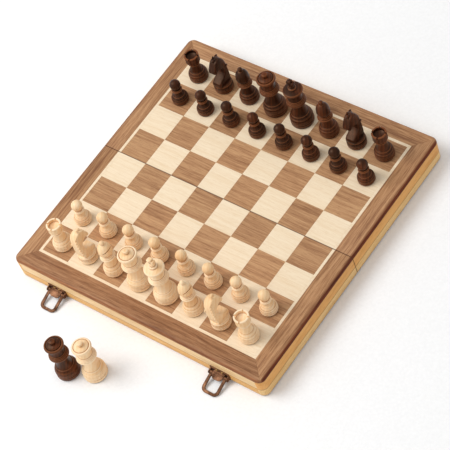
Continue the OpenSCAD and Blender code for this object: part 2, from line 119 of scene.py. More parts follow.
def mixColour(tree, fac, a, b, blend="MIX"):
    node = addNode(tree, "ShaderNodeMix", {0: fac, 6: a, 7: b}, data_type="RGBA", blend_type=blend)
    return node.outputs[2]


def noiseNode(tree, vector, scale, detail=3.0, rough=0.5, distort=0.0):
    node = addNode(tree, "ShaderNodeTexNoise",
                   {"Vector": vector, "Scale": scale, "Detail": detail, "Roughness": rough,
                    "Distortion": distort})
    return node.outputs["Fac"]


def newMaterial(name, rough, metal=0.0, coat=0.0, coatRough=0.1):
    material = bpy.data.materials.new(name)
    material.use_nodes = True
    tree = material.node_tree
    shader = tree.nodes["Principled BSDF"]
    shader.inputs["Roughness"].default_value = rough
    shader.inputs["Metallic"].default_value = metal
    shader.inputs["Coat Weight"].default_value = coat
    shader.inputs["Coat Roughness"].default_value = coatRough
    return material, tree, shader


def addBump(tree, shader, height, strength, distance=0.0002):
    bump = addNode(tree, "ShaderNodeBump", {"Strength": strength, "Distance": distance, "Height": height})
    tree.links.new(bump.outputs["Normal"], shader.inputs["Normal"])


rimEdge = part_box("near_border")[1].x
square = (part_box("near_maple_veneer")[1].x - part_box("near_maple_veneer")[0].x - 7.1 * mm) / 8

# the two edge colours of the walnut are painted shade for the rim's eased outer edges
walnutWood = {"light": srgb(200, 154, 112), "mid": srgb(174, 128, 89), "dark": srgb(134, 90, 60),
              "pore": srgb(98, 60, 38), "front": srgb(238, 234, 236), "endEdge": srgb(238, 214, 194),
              "sideEdge": srgb(160, 100, 64), "rough": 0.5}
squareWood = {"light": srgb(204, 160, 116), "mid": srgb(184, 138, 98), "dark": srgb(148, 104, 70),
              "pore": srgb(108, 68, 44), "rough": 0.5}
mapleWood = {"light": srgb(249, 231, 202), "mid": srgb(243, 222, 191), "dark": srgb(233, 206, 168),
             "pore": srgb(220, 188, 146), "rough": 0.45}
wallWood = {"light": srgb(246, 216, 170), "mid": srgb(237, 203, 152), "dark": srgb(220, 178, 122),
            "pore": srgb(194, 148, 94), "rough": 0.45}
glueLine = {"height": 0.012, "half": 0.0006, "colour": srgb(150, 100, 52)}
endBands = {"high": srgb(255, 255, 255), "low": srgb(247, 223, 180)}
# the side walls' band tints also hold painted shade, darker and more orange above the glue line
sideBandsAndShade = {"high": srgb(245, 212, 165), "low": srgb(255, 246, 222)}


def flatGrain(tree, along, inSquares):
    # Object coordinates turned so that X runs along the grain; along is "x", "y", or "rim" for mitred strips
    place = addNode(tree, "ShaderNodeTexCoord").outputs["Object"]
    part = addNode(tree, "ShaderNodeSeparateXYZ", {0: place})
    turned = addNode(tree, "ShaderNodeCombineXYZ",
                     {0: part.outputs[1], 1: part.outputs[0], 2: part.outputs[2]}).outputs[0]
    if along == "y":
        return turned
    if along == "rim":
        side = mathNode(tree, "GREATER_THAN", mathNode(tree, "ABSOLUTE", part.outputs[0]),
                        mathNode(tree, "ABSOLUTE", part.outputs[1]))
        sign = mathNode(tree, "SIGN", mathNode(tree, "ADD", part.outputs[0], part.outputs[1]))
        both = addNode(tree, "ShaderNodeMix", {0: side, 4: place, 5: turned}, data_type="VECTOR").outputs[1]
        apart = addNode(tree, "ShaderNodeCombineXYZ", {0: sign, 1: sign, 2: side}).outputs[0]
        return vectorNode(tree, "ADD", both, apart)
    if inSquares:
        # each square is cut from another leaf of veneer
        cell = vectorNode(tree, "FLOOR", vectorNode(tree, "DIVIDE", place, (square, square, 1)))
        leaf = addNode(tree, "ShaderNodeTexWhiteNoise", {0: cell}, noise_dimensions="3D").outputs["Color"]
        return vectorNode(tree, "ADD", place, vectorNode(tree, "MULTIPLY", leaf, (3, 3, 0.2)))
    return place


def boardWood(name, wood, along, inSquares=False, bands=None, figure=1.0, vary=0.05):
    material, tree, shader = newMaterial(name, wood["rough"])
    shader.inputs["Specular IOR Level"].default_value = 0.22
    place = addNode(tree, "ShaderNodeTexCoord").outputs["Object"]
    part = addNode(tree, "ShaderNodeSeparateXYZ", {0: place}).outputs
    grain = flatGrain(tree, along, inSquares)
    drift = noiseNode(tree, vectorNode(tree, "MULTIPLY", grain, (6, 26, 26)), 1, 2)
    bend = addNode(tree, "ShaderNodeCombineXYZ", {1: mathNode(tree, "MULTIPLY", drift, 0.012)}).outputs[0]
    bent = vectorNode(tree, "ADD", grain, bend)
    # growth bands of a few millimetres, finer streaks in them, and slow changes across the board
    rings = noiseNode(tree, vectorNode(tree, "MULTIPLY", bent, (9, 300, 120)), 1, 3, 0.6)
    streaks = noiseNode(tree, vectorNode(tree, "MULTIPLY", bent, (45, 900, 500)), 1, 3, 0.6)
    fibres = noiseNode(tree, vectorNode(tree, "MULTIPLY", bent, (110, 2100, 1700)), 1, 2, 0.6)
    broad = noiseNode(tree, vectorNode(tree, "MULTIPLY", bent, (4, 60, 40)), 1, 1)
    tone = mathNode(tree, "ADD", mathNode(tree, "MULTIPLY", rings, 0.5),
                    mathNode(tree, "ADD", mathNode(tree, "MULTIPLY", streaks, 0.38),
                             mathNode(tree, "MULTIPLY", broad, 0.12)))
    spread = 0.12 / figure
    colour = rampNode(tree, tone, [(0.5 - spread, wood["dark"]), (0.5, wood["mid"]),
                                   (0.5 + spread, wood["light"])])
    pores = addNode(tree, "ShaderNodeMapRange", {0: fibres, 1: 0.55, 2: 0.74, 3: 0.0, 4: 0.6}).outputs[0]
    colour = mixColour(tree, pores, colour, wood["pore"])
    if inSquares:
        cell = vectorNode(tree, "FLOOR", vectorNode(tree, "DIVIDE", place, (square, square, 1)))
        shade = addNode(tree, "ShaderNodeTexWhiteNoise", {0: cell}, noise_dimensions="3D").outputs["Value"]
        value = addNode(tree, "ShaderNodeMapRange", {0: shade, 3: 1 - vary, 4: 1 + vary}).outputs[0]
        colour = addNode(tree, "ShaderNodeHueSaturation", {"Value": value, "Color": colour}).outputs[0]
    if bands:
        # the walls are laid up in two bands with a darker glue line between them; on the side walls the band
        # tints also hold painted shade, darker and more orange in the upper band
        low = addNode(tree, "ShaderNodeMapRange", {0: part[2], 1: glueLine["height"] - 0.0005,
                                                   2: glueLine["height"] + 0.0005}).outputs[0]
        colour = mixColour(tree, 1.0, colour, mixColour(tree, low, bands["low"], bands["high"]), "MULTIPLY")
        line = mathNode(tree, "COMPARE", part[2], glueLine["height"])
        line.node.inputs[2].default_value = glueLine["half"]
        colour = mixColour(tree, mathNode(tree, "MULTIPLY", line, 0.6), colour, glueLine["colour"])
        # painted shade: the walls darken towards their bottom edge
        foot = addNode(tree, "ShaderNodeMapRange", {0: part[2], 1: 0.0002, 2: 0.0016,
                                                    3: 0.5, 4: 0.0}).outputs[0]
        colour = mixColour(tree, foot, colour, srgb(176, 122, 66))
    if along == "rim":
        # the front strip is darker stock; the eased outer edges get painted shade, dark on the side strips
        # and slight on the end strips
        wide = addNode(tree, "ShaderNodeSeparateXYZ", {0: vectorNode(tree, "ABSOLUTE", place)}).outputs
        side = mathNode(tree, "GREATER_THAN", wide[0], wide[1])
        front = mathNode(tree, "LESS_THAN", part[1], mathNode(tree, "MULTIPLY", wide[0], -1))
        colour = mixColour(tree, front, colour, mixColour(tree, 1.0, colour, wood["front"], "MULTIPLY"))
        edge = addNode(tree, "ShaderNodeMapRange", {0: mathNode(tree, "MAXIMUM", wide[0], wide[1]),
                                                    1: rimEdge - 0.0038, 2: rimEdge - 0.0012}).outputs[0]
        tint = mixColour(tree, side, wood["endEdge"], wood["sideEdge"])
        colour = mixColour(tree, edge, colour, mixColour(tree, 1.0, colour, tint, "MULTIPLY"))
    if along != "x" or inSquares:
        # painted shade along the seam, where the two halves meet
        seam = addNode(tree, "ShaderNodeMapRange", {0: mathNode(tree, "ABSOLUTE", part[1]), 1: 0.0004,
                                                    2: 0.0009, 3: 0.7, 4: 0.0}).outputs[0]
        colour = mixColour(tree, seam, colour, srgb(92, 56, 36))
    tree.links.new(colour, shader.inputs["Base Color"])
    rough = addNode(tree, "ShaderNodeMapRange",
                    {0: fibres, 3: wood["rough"] - 0.08, 4: wood["rough"] + 0.12})
    tree.links.new(rough.outputs[0], shader.inputs["Roughness"])
    relief = mathNode(tree, "SUBTRACT", mathNode(tree, "MULTIPLY", rings, 0.3), pores)
    addBump(tree, shader, relief, 0.35, 0.0001)
    return material


# the groove and ridge colours of the turned wood are painted shade in the grooves and painted highlight on
# the ridges
lightTurning = {"light": srgb(254, 230, 194), "mid": srgb(246, 208, 160), "dark": srgb(230, 180, 124),
                "fleck": srgb(214, 158, 98), "groove": srgb(168, 102, 48), "ridge": srgb(255, 232, 198),
                "rough": 0.45, "coat": 0.08,
                "shine": 0.35, "tint": (1, 0.95, 0.86, 1), "contrast": 0.8, "vein": 0.18}
darkTurning = {"light": srgb(96, 46, 22), "mid": srgb(54, 23, 10), "dark": srgb(34, 13, 5),
               "fleck": srgb(28, 11, 5), "groove": srgb(14, 5, 2), "ridge": srgb(134, 79, 46),
               "rough": 0.38, "coat": 0.0,
               "shine": 0.42, "tint": (0.9, 0.56, 0.36, 1), "contrast": 1.2, "vein": 0.3}


def turnedWood(name, wood):
    # rings of a trunk standing beside the men, cut through by the lathe
    material, tree, shader = newMaterial(name, wood["rough"], coat=wood["coat"], coatRough=0.2)
    shader.inputs["Specular IOR Level"].default_value = wood["shine"]
    shader.inputs["Specular Tint"].default_value = wood["tint"]
    place = addNode(tree, "ShaderNodeTexCoord").outputs["Object"]
    tilted = addNode(tree, "ShaderNodeMapping",
                     {"Vector": place, "Location": (0.9, 0.7, 0.3), "Rotation": (0.11, -0.16, 0)}).outputs[0]
    rings = addNode(tree, "ShaderNodeTexWave",
                    {"Vector": tilted, "Scale": 78, "Distortion": 5.0, "Detail": 2.0, "Detail Scale": 0.6,
                     "Detail Roughness": 0.5}, wave_type="RINGS", rings_direction="Z",
                    wave_profile="SAW").outputs["Fac"]
    stretched = vectorNode(tree, "MULTIPLY", tilted, (620, 620, 90))
    fibres = noiseNode(tree, stretched, 1, 4, 0.6)
    cloud = noiseNode(tree, vectorNode(tree, "MULTIPLY", tilted, (55, 55, 18)), 1, 2)
    tone = mathNode(tree, "ADD", mathNode(tree, "MULTIPLY", rings, 0.16),
                    mathNode(tree, "MULTIPLY", cloud, 0.84))
    half = 0.24 / wood["contrast"]
    colour = rampNode(tree, tone, [(0.5 - half, wood["dark"]), (0.5, wood["mid"]),
                                   (0.5 + half, wood["light"])])
    fleck = addNode(tree, "ShaderNodeMapRange",
                    {0: fibres, 1: 0.54, 2: 0.78, 3: 0.0, 4: wood["vein"]}).outputs[0]
    colour = mixColour(tree, fleck, colour, wood["fleck"])
    # painted shade darkens the bottoms of the grooves and painted highlight lightens the sharp ridges, both
    # from values marked on the mesh
    groove = addNode(tree, "ShaderNodeAttribute", attribute_name="groove").outputs["Fac"]
    ridge = addNode(tree, "ShaderNodeMapRange", {0: groove, 1: 0.0, 2: -1.0, 3: 0.0, 4: 0.75}).outputs[0]
    colour = mixColour(tree, ridge, colour, wood["ridge"])
    groove = addNode(tree, "ShaderNodeMapRange", {0: groove}).outputs[0]
    colour = mixColour(tree, mathNode(tree, "MULTIPLY", groove, 0.95), colour, wood["groove"])
    tree.links.new(colour, shader.inputs["Base Color"])
    rough = addNode(tree, "ShaderNodeMapRange",
                    {0: fibres, 3: wood["rough"] - 0.08, 4: wood["rough"] + 0.14})
    tree.links.new(rough.outputs[0], shader.inputs["Roughness"])
    part = addNode(tree, "ShaderNodeSeparateXYZ", {0: place})
    tool = mathNode(tree, "SINE", mathNode(tree, "MULTIPLY", part.outputs[2], 9000))
    marks = mathNode(tree, "ADD", mathNode(tree, "MULTIPLY", tool, 0.12),
                     mathNode(tree, "MULTIPLY", fibres, 0.8))
    addBump(tree, shader, marks, 0.15, 0.00012)
    return material


def feltCloth(name, colour, dark):
    material, tree, shader = newMaterial(name, 0.95)
    shader.inputs["Sheen Weight"].default_value = 0.35
    shader.inputs["Sheen Roughness"].default_value = 0.5
    place = addNode(tree, "ShaderNodeTexCoord").outputs["Object"]
    wool = noiseNode(tree, place, 900, 5, 0.65, 0.6)
    patch = noiseNode(tree, place, 60, 2)
    tone = mathNode(tree, "ADD", mathNode(tree, "MULTIPLY", wool, 0.7),
                    mathNode(tree, "MULTIPLY", patch, 0.3))
    tree.links.new(rampNode(tree, tone, [(0.32, dark), (0.66, colour)]), shader.inputs["Base Color"])
    addBump(tree, shader, wool, 0.8, 0.0004)
    return material


def agedMetal(name, bright, dark, rough, scale):
    material, tree, shader = newMaterial(name, rough, metal=1.0)
    place = addNode(tree, "ShaderNodeTexCoord").outputs["Object"]
    patina = noiseNode(tree, place, scale, 4, 0.6, 0.4)
    scuffs = noiseNode(tree, vectorNode(tree, "MULTIPLY", place, (1, 4, 4)), scale * 6, 3, 0.6)
    tone = mathNode(tree, "ADD", mathNode(tree, "MULTIPLY", patina, 0.65),
                    mathNode(tree, "MULTIPLY", scuffs, 0.35))
    tree.links.new(rampNode(tree, tone, [(0.36, dark), (0.62, bright)]), shader.inputs["Base Color"])
    shine = addNode(tree, "ShaderNodeMapRange", {0: tone, 1: 0.3, 2: 0.7, 3: rough + 0.15, 4: rough - 0.08})
    tree.links.new(shine.outputs[0], shader.inputs["Roughness"])
    addBump(tree, shader, tone, 0.25, 0.0002)
    return material


rimWalnut = boardWood("rimWalnut", walnutWood, "rim")
squareWalnut = boardWood("squareWalnut", squareWood, "x", inSquares=True, figure=0.9, vary=0.07)
squareMaple = boardWood("squareMaple", mapleWood, "x", inSquares=True, figure=0.6, vary=0.015)
wallMapleX = boardWood("wallMapleX", wallWood, "x", bands=endBands, figure=0.8)
wallMapleY = boardWood("wallMapleY", wallWood, "y", bands=sideBandsAndShade, figure=0.8)
lightWood = turnedWood("lightWood", lightTurning)
darkWood = turnedWood("darkWood", darkTurning)
trayFelt = feltCloth("trayFelt", srgb(44, 92, 62), srgb(20, 52, 34))
baseFelt = feltCloth("baseFelt", srgb(74, 52, 38), srgb(38, 24, 16))
bronze = agedMetal("bronze", srgb(142, 102, 76), srgb(66, 42, 30), 0.56, 90)
brass = agedMetal("brass", srgb(206, 170, 104), srgb(150, 112, 60), 0.3, 140)
print("materials made")


# Mesh helpers

def addPiece(name, bm, materials, body, replaced):
    mesh = bpy.data.meshes.new(name)
    bm.to_mesh(mesh)
    bm.free()
    for material in materials:
        mesh.materials.append(material)
    mesh.shade_smooth()
    mesh.set_sharp_from_angle(angle=math.radians(34))
    piece = bpy.data.objects.new(name, mesh)
    bpy.context.scene.collection.objects.link(piece)
    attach(piece, body)
    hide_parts(*replaced)
    return piece


def fromNode(node):
    # the CAD node's own shape, merged and with its flat faces joined up again
    bm = bmesh.new()
    bm.from_mesh(frame["nodes"][node].data)
    bmesh.ops.remove_doubles(bm, verts=bm.verts, dist=1e-6)
    bmesh.ops.dissolve_limit(bm, angle_limit=math.radians(0.6), verts=bm.verts, edges=bm.edges)
    return bm


def softenEdges(bm, width):
    sharp = [e for e in bm.edges if len(e.link_faces) == 2 and e.calc_face_angle(0) > math.radians(40)]
    bmesh.ops.bevel(bm, geom=sharp, offset=width, offset_type="OFFSET", affect="EDGES", segments=2,
                    profile=0.5, material=-1, clamp_overlap=True)


def nodeBody(node):
    for body, nodes in frame["record"]["behaviour"]["bodies"].items():
        if node in nodes:
            return body


def paintNode(node, material):
    slots = frame["nodes"][node].data.materials
    slots.clear()
    slots.append(material)


# Board

board = {"woodEdge": 0.25 * mm, "metalEdge": 0.22 * mm}


def softenedNode(node, name, material, width):
    bm = fromNode(node)
    softenEdges(bm, width)
    return addPiece(name, bm, [material], nodeBody(node), [node])


for half in ("near", "far"):
    softenedNode(half + "_border", half + "Border", rimWalnut, board["woodEdge"])
    softenedNode(half + "_side_walls", half + "SideWalls", wallMapleY, board["woodEdge"])
    paintNode(half + "_seam_wall", wallMapleX)
    paintNode(half + "_panel", wallMapleX)
    paintNode(half + "_maple_veneer", squareMaple)
    paintNode(half + "_walnut_veneer", squareWalnut)
    paintNode(half + "_lining", trayFelt)
    paintNode(half + "_pads", baseFelt)
    paintNode(half + "_screws", brass)
    paintNode(half + "_hinge_leaves", brass)
softenedNode("near_front_wall", "frontWall", wallMapleX, board["woodEdge"])
softenedNode("far_back_wall", "backWall", wallMapleX, board["woodEdge"])
print("board made")

# Clasps

for node, name in (("clasp_brackets", "claspBrackets"), ("catches", "catchPlates"),
                   ("left_bail", "leftBail"), ("right_bail", "rightBail")):
    softenedNode(node, name, bronze, board["metalEdge"])
print("clasps made")


# Chessmen, each drawn in millimetres about its own upright axis

turning = {"steps": 56, "felt": 1.0}


def arcPoints(x, z, r, start, end, steps=8):
    angles = [math.radians(start + (end - start) * i / steps) for i in range(steps + 1)]
    return [(x + r * math.cos(a), z + r * math.sin(a)) for a in angles]


def curvePoints(a, b, c, steps=10):
    points = []
    for i in range(steps + 1):
        t = i / steps
        points.append(tuple((1 - t) ** 2 * p + 2 * t * (1 - t) * q + t * t * s for p, q, s in zip(a, b, c)))
    return points


def beadPoints(inner, outer, low, high):
    r = (high - low) / 2
    return [(inner, low)] + arcPoints(outer - r, low + r, r, -78, 78) + [(inner, high)]


def footPoints(r, ring=0.75, ringZ=1.28):
    f = turning["felt"]
    disc = [(0, f), (r - 1.3, f), (r - 0.5, f + 0.25), (r - 0.1, f + 0.9), (r, f + 1.7),
            (r - 0.05, 0.35 * r)]
    groove = [(0.91 * r, 0.385 * r), (0.91 * r, 0.415 * r), (0.99 * r, 0.45 * r)]
    bead = [(r - 0.1, 0.48 * r), (r - 0.1, 0.53 * r), (0.935 * r, 0.575 * r)]
    shoulder = curvePoints((0.99 * r, 0.6 * r), (1.0 * r, (ringZ - 0.33) * r),
                           (ring * r, (ringZ - 0.1) * r), 12)
    top = beadPoints((ring - 0.03) * r, (ring + 0.02) * r, (ringZ - 0.08) * r, ringZ * r) + \
        [((ring - 0.06) * r, (ringZ + 0.03) * r)]
    return disc + groove + bead + scored(scored(shoulder, 8, 0.9), 3, 0.5) + top


def scored(points, at, deep):
    # a narrow groove cut into a profile at one of its points
    x, z = points[at]
    cut = [(x + 0.2 * deep, z - 0.45), (x - deep, z), (x - 0.1 * deep, z + 0.45)]
    return points[:at] + cut + points[at + 1:]


def markShadeAndHighlight(points):
    # painted shade for the hollow corners of the profile, each between two unmarked points close by; sharp
    # ridges count down, for painted highlight
    marked = [(*points[0], 0.0)]
    for before, here, after in zip(points, points[1:], points[2:]):
        a, b = Vector(here) - Vector(before), Vector(after) - Vector(here)
        bend = -math.degrees(math.atan2(a.x * b.y - a.y * b.x, a.dot(b)))
        if bend < 22 or min(a.length, b.length) < 0.01:
            curve = -bend / max(0.5 * (a.length + b.length), 0.1)
            marked.append((*here, -min(1.0, max(0.0, (curve - 14) / 30))))
            continue
        near = Vector(here) - a * min(0.8, 0.5 * a.length) / a.length
        past = Vector(here) + b * min(0.8, 0.5 * b.length) / b.length
        marked += [(*near, 0.15), (*here, min(1.0, bend / 45)), (*past, 0.15)]
    return marked + [(*points[-1], 0.0)]


def turnProfile(points):
    bm = bmesh.new()
    groove = bm.verts.layers.float.new("groove")
    verts = []
    for x, z, depth in markShadeAndHighlight(points):
        verts.append(bm.verts.new((max(x, 0), 0, z)))
        verts[-1][groove] = depth
    edges = [bm.edges.new(pair) for pair in zip(verts, verts[1:])]
    bmesh.ops.spin(bm, geom=verts + edges, axis=(0, 0, 1), cent=(0, 0, 0), angle=2 * math.pi,
                   steps=turning["steps"], use_merge=True, use_duplicate=False)
    bmesh.ops.remove_doubles(bm, verts=bm.verts, dist=0.002)
    bmesh.ops.recalc_face_normals(bm, faces=bm.faces)
    return bm


def addFelt(bm, r):
    before = set(bm.faces)
    bmesh.ops.create_cone(bm, cap_ends=True, segments=turning["steps"], radius1=r - 1.2, radius2=r - 1.2,
                          depth=turning["felt"] - 0.05,
                          matrix=Matrix.Translation((0, 0, turning["felt"] / 2 - 0.025)))
    for face in set(bm.faces) - before:
        face.material_index = 1


def addBall(bm, place, r, stretch=(1, 1, 1), turn=None, segments=20):
    matrix = Matrix.Translation(place) @ (turn or Matrix()) @ Matrix.Diagonal((*stretch, 1))
    bmesh.ops.create_uvsphere(bm, u_segments=segments, v_segments=segments // 2, radius=r, matrix=matrix)


def boxMesh(size, place, turn=None):
    bm = bmesh.new()
    bmesh.ops.create_cube(bm, size=1, matrix=Matrix.Diagonal((*size, 1)))
    bm.transform(Matrix.Translation(place) @ (turn or Matrix()))
    return bm


def joinMeshes(bm, *others):
    for other in others:
        mesh = bpy.data.meshes.new("joined")
        other.to_mesh(mesh)
        other.free()
        bm.from_mesh(mesh)
        bpy.data.meshes.remove(mesh)
    return bm


def carve(bm, cutter):
    pair = []
    for part in (bm, cutter):
        mesh = bpy.data.meshes.new("carving")
        part.to_mesh(mesh)
        part.free()
        shape = bpy.data.objects.new("carving", mesh)
        bpy.context.scene.collection.objects.link(shape)
        pair.append(shape)
    cut = pair[0].modifiers.new("cut", "BOOLEAN")
    cut.operation = "DIFFERENCE"
    cut.solver = "EXACT"
    cut.object = pair[1]
    bpy.context.view_layer.update()
    done = pair[0].evaluated_get(bpy.context.evaluated_depsgraph_get())
    result = bmesh.new()
    result.from_mesh(done.to_mesh())
    done.to_mesh_clear()
    for shape in pair:
        mesh = shape.data
        bpy.data.objects.remove(shape)
        bpy.data.meshes.remove(mesh)
    return result


def makePawn(r, h):
    head = 0.64 * r
    neck = 0.4 * r
    collar = 0.6 * h
    stem = curvePoints((0.6 * r, 1.26 * r), (neck, 1.4 * r), (neck, collar - 2.2))
    collars = beadPoints(neck + 0.3, 0.64 * r, collar - 2, collar) + \
        beadPoints(neck + 0.5, 0.56 * r, collar, collar + 1)
    ball = arcPoints(0, h - head, head, -52, 90, 18)
    return turnProfile(footPoints(r, 0.7, 1.2) + stem + collars + ball)


def makeRook(r, h):
    turret = 0.75 * r
    low = 0.76 * h
    well = turret - 2.3
    stem = curvePoints((0.64 * r, 1.34 * r), (0.5 * r, 0.48 * h), (0.5 * r, 0.62 * h))
    flare = beadPoints(0.5 * r, 0.6 * r, 0.635 * h, 0.67 * h) + \
        curvePoints((0.52 * r, 0.68 * h), (0.55 * r, low - 2), (0.7 * r, low - 0.9))
    body = curvePoints((turret, low), (turret - 0.3, low + 4), (turret + 0.1, h - 0.5))
    top = [(turret - 0.4, h), (well + 0.4, h), (well, h - 0.5)] + \
        curvePoints((well - 0.2, h - 4.6), (0.6 * well, h - 6), (0, h - 6.4))
    bm = turnProfile(footPoints(r) + stem + flare + body + top)
    for turn in (20, 110):
        bm = carve(bm, boxMesh((3 * r, 1.7, 5), (0, 0, h), Matrix.Rotation(math.radians(turn), 4, "Z")))
    return bm


def makeBishop(r, h):
    neck = 0.44 * r
    collar = 0.53 * h
    mitre = 0.68 * r
    wide = 0.745 * h
    knob = 0.25 * r
    stem = curvePoints((0.64 * r, 1.34 * r), (neck, 0.42 * h), (neck, collar - 2.6))
    collars = beadPoints(0.54 * r, 0.78 * r, collar - 2.2, collar + 0.6) + \
        beadPoints(0.56 * r, 0.69 * r, collar + 0.9, collar + 2.5) + \
        beadPoints(0.5 * r, 0.6 * r, collar + 2.8, collar + 4.0)
    head = curvePoints((0.44 * r, collar + 4.6), (mitre + 1.4, wide - 7.2), (mitre, wide)) + \
        curvePoints((mitre, wide), (mitre - 0.4, wide + 7.0), (0.22 * r, h - 1.7 * knob))[1:]
    bm = turnProfile(footPoints(r) + stem + collars + head + arcPoints(0, h - knob, knob, -44, 90, 10))
    slit = boxMesh((r, 2 * r, 1.0), (0.62 * r, 0, wide + 3.2), Matrix.Rotation(math.radians(-38), 4, "Y"))
    return carve(bm, slit)


def royalPoints(r, h, neck):
    stem = curvePoints((0.67 * r, 1.33 * r), (neck, 0.38 * h), (neck, 0.535 * h), 14)
    under = [(0.62 * r, 0.543 * h)] + arcPoints(0.85 * r - 1.9, 0.58 * h, 1.9, -64, 58, 8)
    steps = beadPoints(0.77 * r, 0.81 * r, 0.608 * h, 0.626 * h) + \
        beadPoints(0.7 * r, 0.75 * r, 0.628 * h, 0.645 * h) + \
        beadPoints(0.62 * r, 0.68 * r, 0.648 * h, 0.667 * h)
    throat = [(0.59 * r, 0.69 * h)] + \
        curvePoints((0.56 * r, 0.705 * h), (0.49 * r, 0.765 * h), (0.6 * r, 0.805 * h))
    return footPoints(r) + stem + under + steps + throat


def makeQueen(r, h):
    knob = 0.25 * r
    crown = [(0.66 * r, 0.815 * h), (0.69 * r, 0.818 * h), (0.76 * r, 0.836 * h), (0.815 * r, 0.848 * h),
             (0.825 * r, 0.862 * h), (0.8 * r, 0.88 * h), (0.75 * r, 0.889 * h), (0.68 * r, 0.889 * h),
             (0.65 * r, 0.878 * h), (0.61 * r, 0.878 * h), (0.59 * r, 0.893 * h)]
    dome = curvePoints((0.56 * r, 0.9 * h), (0.42 * r, 0.92 * h), (knob - 0.9, 0.922 * h))
    top = [(knob - 0.8, 0.932 * h), (knob - 0.1, 0.946 * h), (knob, 0.96 * h), (knob, h - 1.5),
           (knob - 0.4, h - 0.5), (knob - 1.3, h), (0, h)]
    return turnProfile(royalPoints(r, h, 0.45 * r) + crown + dome + top)


def makeKing(r, h):
    low = 0.86 * h
    mid = low + 0.56 * (h - low)
    crown = [(0.66 * r, 0.722 * h), (0.78 * r, 0.742 * h), (0.84 * r, 0.755 * h), (0.85 * r, 0.768 * h),
             (0.83 * r, 0.779 * h)]
    dome = curvePoints((0.79 * r, 0.785 * h), (0.55 * r, 0.798 * h), (0.35 * r, 0.803 * h))
    foot = beadPoints(0.3 * r, 0.35 * r, 0.812 * h, 0.836 * h) + \
        [(0.22 * r, 0.845 * h), (0.2 * r, low + 1), (0, low + 1)]
    bm = turnProfile(royalPoints(r, 0.885 * h, 0.45 * r) + crown + dome + foot)
    tall = boxMesh((0.3 * r, 0.36 * r, h - low + 0.2), (0, 0, (h + low) / 2 - 0.1))
    wide = boxMesh((0.66 * r, 0.36 * r, 0.3 * r), (0, 0, mid))
    for arm in (tall, wide):
        bmesh.ops.subdivide_edges(arm, edges=arm.edges, cuts=3, use_grid_fill=True)
        for vert in arm.verts:
            # the arms flare towards their ends
            out, up = vert.co.x / (0.33 * r), (vert.co.z - mid) / (0.5 * (h - low))
            if arm is tall:
                vert.co.x *= 0.72 + 0.45 * min(abs(up), 1)
            else:
                vert.co.z = mid + (vert.co.z - mid) * (0.72 + 0.45 * min(abs(out), 1))
        sharp = [e for e in arm.edges if e.calc_face_angle(0) > 0.9]
        bmesh.ops.bevel(arm, geom=sharp, offset=1.0, offset_type="OFFSET", affect="EDGES", segments=3,
                        profile=0.5, material=-1, clamp_overlap=True)
    return joinMeshes(bm, tall, wide)


knight = {"thick": 13, "edge": 2.2}


def knightOutline(r, h):
    # the head from its side, muzzle to +Y: back, poll, face, muzzle, jaw, throat and chest
    def at(y, z):
        return (y * r, z * h)

    back = [at(-0.7, 0.215)] + curvePoints(at(-0.8, 0.3), at(-0.88, 0.5), at(-0.84, 0.68), 9)
    poll = curvePoints(at(-0.82, 0.74), at(-0.74, 0.86), at(-0.46, 0.905), 6) + [at(-0.2, 0.925)]
    face = curvePoints(at(0.06, 0.925), at(0.42, 0.905), at(0.66, 0.81), 6) + \
        curvePoints(at(0.74, 0.78), at(0.86, 0.74), at(0.9, 0.69), 4) + \
        curvePoints(at(0.91, 0.68), at(0.88, 0.65), at(0.74, 0.648), 4)
    jaw = curvePoints(at(0.58, 0.655), at(0.42, 0.69), at(0.22, 0.682), 4) + \
        curvePoints(at(0, 0.66), at(-0.3, 0.62), at(-0.28, 0.53), 6)
    chest = curvePoints(at(-0.25, 0.46), at(0.02, 0.4), at(0.58, 0.355), 6) + \
        curvePoints(at(0.84, 0.33), at(0.98, 0.28), at(0.88, 0.215), 6)
    return back + poll + face + jaw + chest


